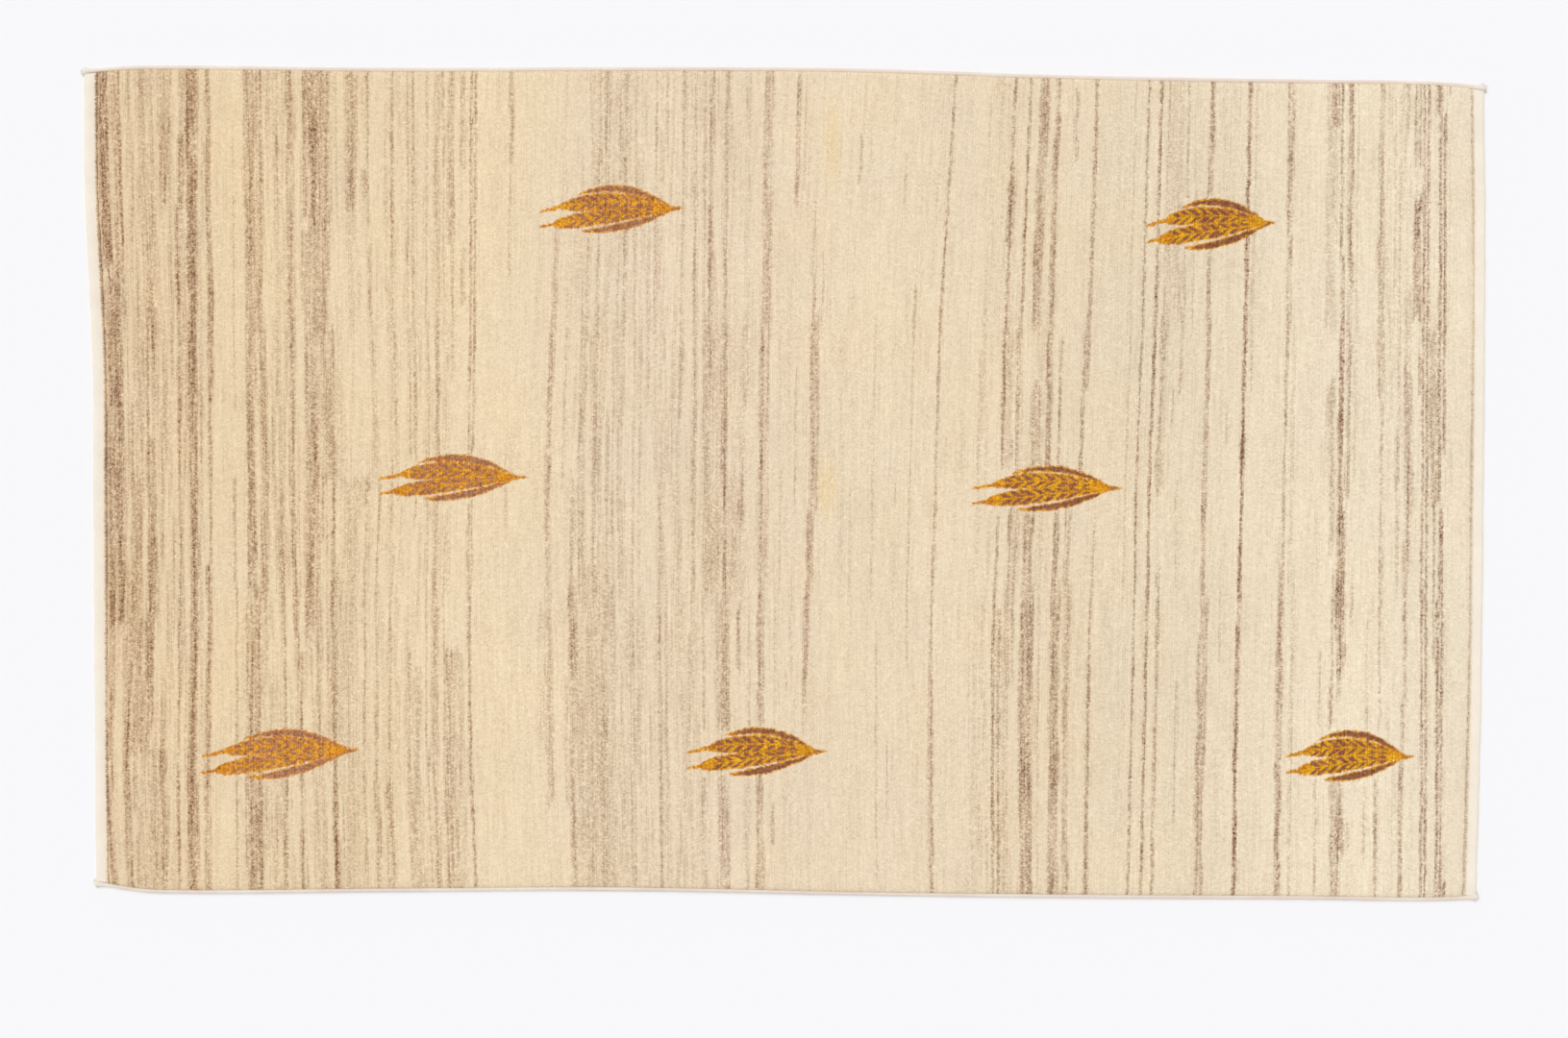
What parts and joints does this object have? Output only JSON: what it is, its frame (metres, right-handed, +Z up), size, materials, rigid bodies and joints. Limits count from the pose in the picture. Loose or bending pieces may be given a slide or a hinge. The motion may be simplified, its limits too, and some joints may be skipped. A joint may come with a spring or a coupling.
{
  "type": "gabbeh rug",
  "caption": "Flat hand-knotted wool gabbeh rug in cream and gold with brown abrash stripes and small wheat-ear sprigs.",
  "frame": {"origin": "middle of the rug's footprint, on the floor it lies on", "axes": "+X along the rug's length, towards the end that the sprigs point to; +Y across it; +Z up out of the pile"},
  "size_m": [2.0248, 1.1985, 0.0115],
  "materials": {
    "pile_wool": "matte",
    "hem_ivory": "matte",
    "binding_wool": "matte"
  },
  "bodies": {
    "root": {"rug_cloth": "pile_wool", "binding_far": "binding_wool", "binding_near": "binding_wool"}
  },
  "joints": []
}
